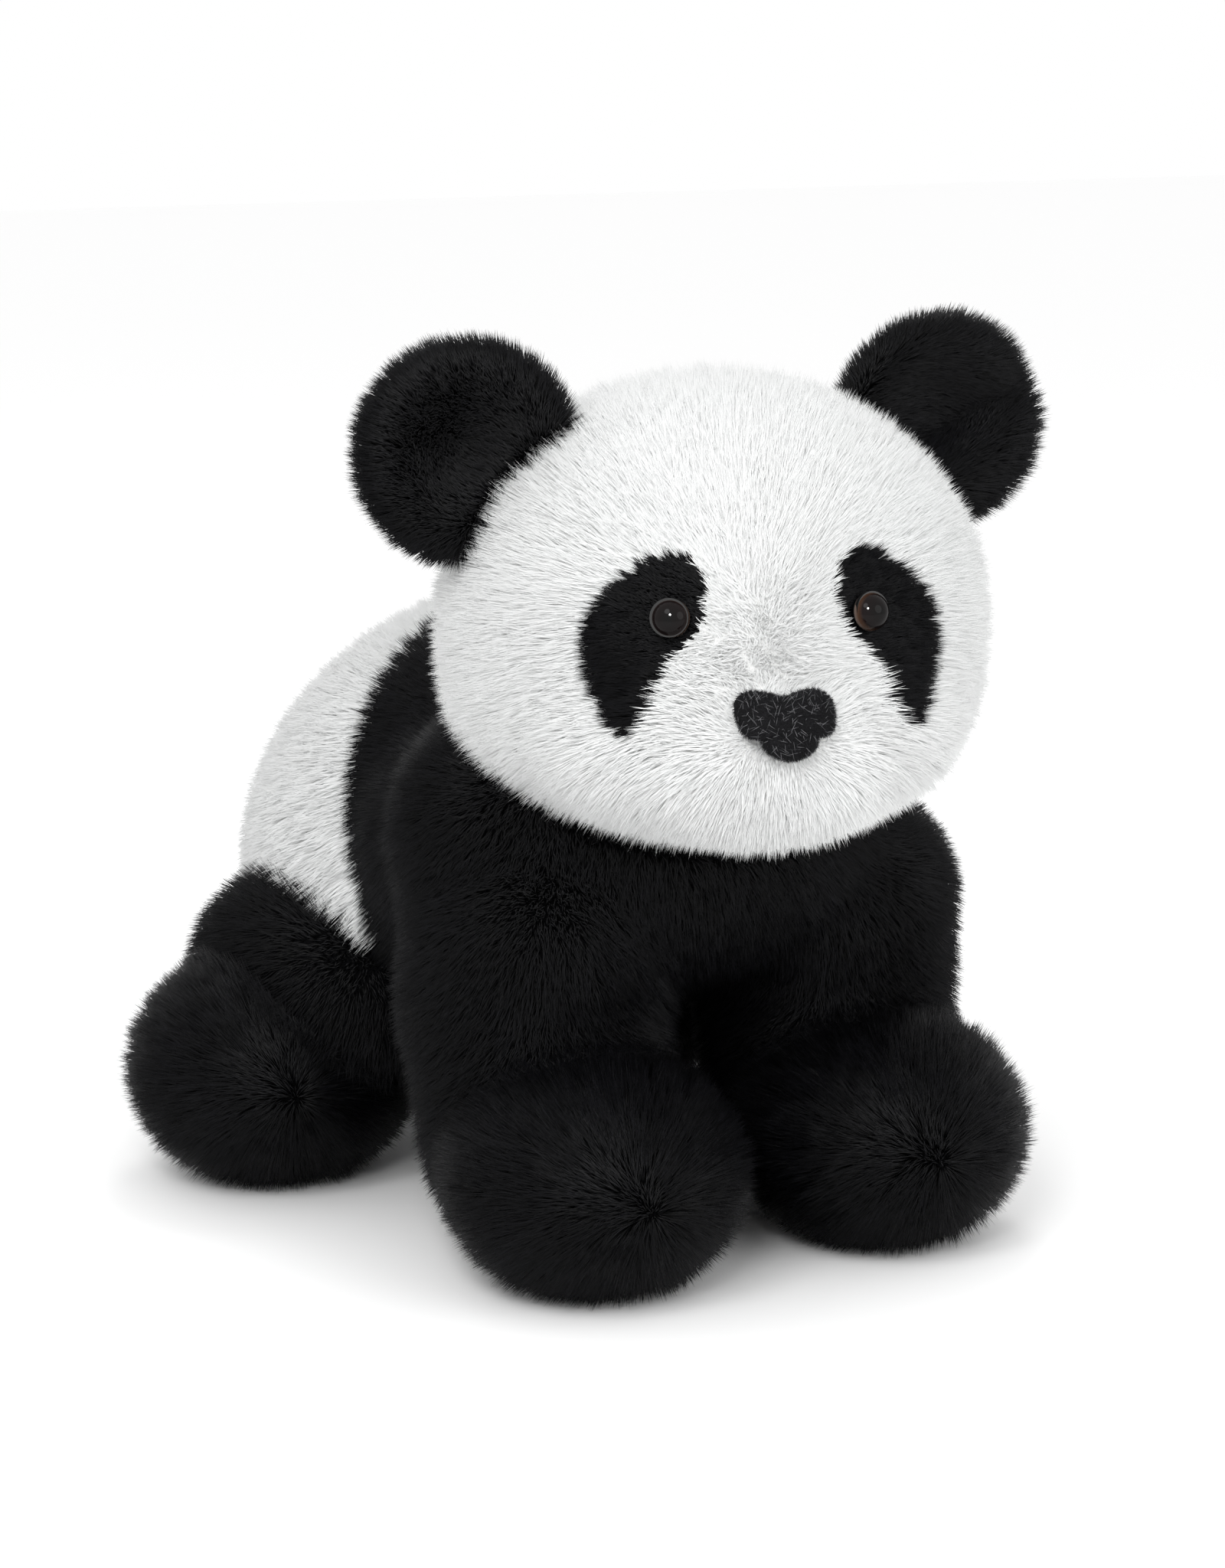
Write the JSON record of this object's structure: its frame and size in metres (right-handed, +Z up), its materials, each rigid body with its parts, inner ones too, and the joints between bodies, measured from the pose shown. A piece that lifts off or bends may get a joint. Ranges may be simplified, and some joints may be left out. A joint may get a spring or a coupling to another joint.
{
  "type": "plush panda",
  "caption": "Stuffed plush panda standing on all fours with its head turned, black and white pile, domed eyes, a flat velour nose and thick round paws.",
  "frame": {"origin": "on the floor under the middle of the toy", "axes": "+Z up, the panda faces -Y and its left side is towards +X"},
  "size_m": [0.332, 0.4238, 0.3312],
  "materials": {
    "black plush": "matt",
    "white plush": "matt",
    "nose velour": "matt",
    "clear eye dome": "gloss",
    "dark eye plastic": "gloss",
    "washer plastic": "matt",
    "polyester fibre": "matt"
  },
  "bodies": {
    "torso": {"shoulder_cover": "black plush", "back_cover": "white plush", "torso_stuffing": "polyester fibre"},
    "neck": {"neck_stuffing": "polyester fibre"},
    "head": {"head_cover": "white plush", "muzzle_cover": "white plush", "nose": "nose velour", "head_stuffing": "polyester fibre", "right_eye_patch": "black plush", "left_eye_patch": "black plush", "right_eye_dome": "clear eye dome", "left_eye_dome": "clear eye dome", "right_eye_shank": "dark eye plastic", "left_eye_shank": "dark eye plastic", "right_eye_washer": "washer plastic", "left_eye_washer": "washer plastic"},
    "right_ear": {"right_ear_front": "black plush", "right_ear_back": "black plush"},
    "left_ear": {"left_ear_front": "black plush", "left_ear_back": "black plush"},
    "right_arm": {"right_sleeve": "black plush", "right_sleeve_stuffing": "polyester fibre", "right_paw_cover": "black plush", "right_paw_sole": "black plush", "right_paw_stuffing": "polyester fibre"},
    "left_arm": {"left_sleeve": "black plush", "left_sleeve_stuffing": "polyester fibre", "left_paw_cover": "black plush", "left_paw_sole": "black plush", "left_paw_stuffing": "polyester fibre"},
    "right_leg": {"right_haunch": "black plush", "right_haunch_stuffing": "polyester fibre", "right_foot_cover": "black plush", "right_foot_sole": "black plush", "right_foot_stuffing": "polyester fibre"},
    "left_leg": {"left_haunch": "black plush", "left_haunch_stuffing": "polyester fibre", "left_foot_cover": "black plush", "left_foot_sole": "black plush", "left_foot_stuffing": "polyester fibre"},
    "tail": {"tail_cover": "white plush", "tail_stuffing": "polyester fibre"}
  },
  "joints": [
    {"name": "head_turn", "type": "hinge", "parent": "torso", "child": "neck", "pos_m": [0, -0.09922, 0.22985], "axis": [0, 0, 1], "range_deg": [-14, 46]},
    {"name": "head_nod", "type": "hinge", "parent": "neck", "child": "head", "pos_m": [0, -0.09922, 0.22985], "axis": [0.9613, -0.2756, 0], "range_deg": [-10, 10]},
    {"name": "right_ear_fold", "type": "hinge", "parent": "head", "child": "right_ear", "pos_m": [-0.07105, -0.06325, 0.2826], "axis": [0.5375, -0.1541, 0.829], "range_deg": [-15, 15], "stiffness_Nm_per_rad": 0.08},
    {"name": "left_ear_fold", "type": "hinge", "parent": "head", "child": "left_ear", "pos_m": [0.07932, -0.10636, 0.2826], "axis": [0.5375, -0.1541, -0.829], "range_deg": [-15, 15], "stiffness_Nm_per_rad": 0.08},
    {"name": "right_shoulder", "type": "hinge", "parent": "torso", "child": "right_arm", "pos_m": [-0.06, -0.07722, 0.091], "axis": [1, 0, 0], "range_deg": [-15, 12]},
    {"name": "left_shoulder", "type": "hinge", "parent": "torso", "child": "left_arm", "pos_m": [0.06, -0.07722, 0.091], "axis": [1, 0, 0], "range_deg": [-15, 12]},
    {"name": "right_hip", "type": "hinge", "parent": "torso", "child": "right_leg", "pos_m": [-0.08, 0.05578, 0.076], "axis": [1, 0, 0], "range_deg": [-10, 10]},
    {"name": "left_hip", "type": "hinge", "parent": "torso", "child": "left_leg", "pos_m": [0.08, 0.05578, 0.076], "axis": [1, 0, 0], "range_deg": [-10, 10]},
    {"name": "tail_wag", "type": "hinge", "parent": "torso", "child": "tail", "pos_m": [0, 0.17873, 0.0607], "axis": [0, 0, 1], "range_deg": [-9, 9], "stiffness_Nm_per_rad": 0.02}
  ]
}
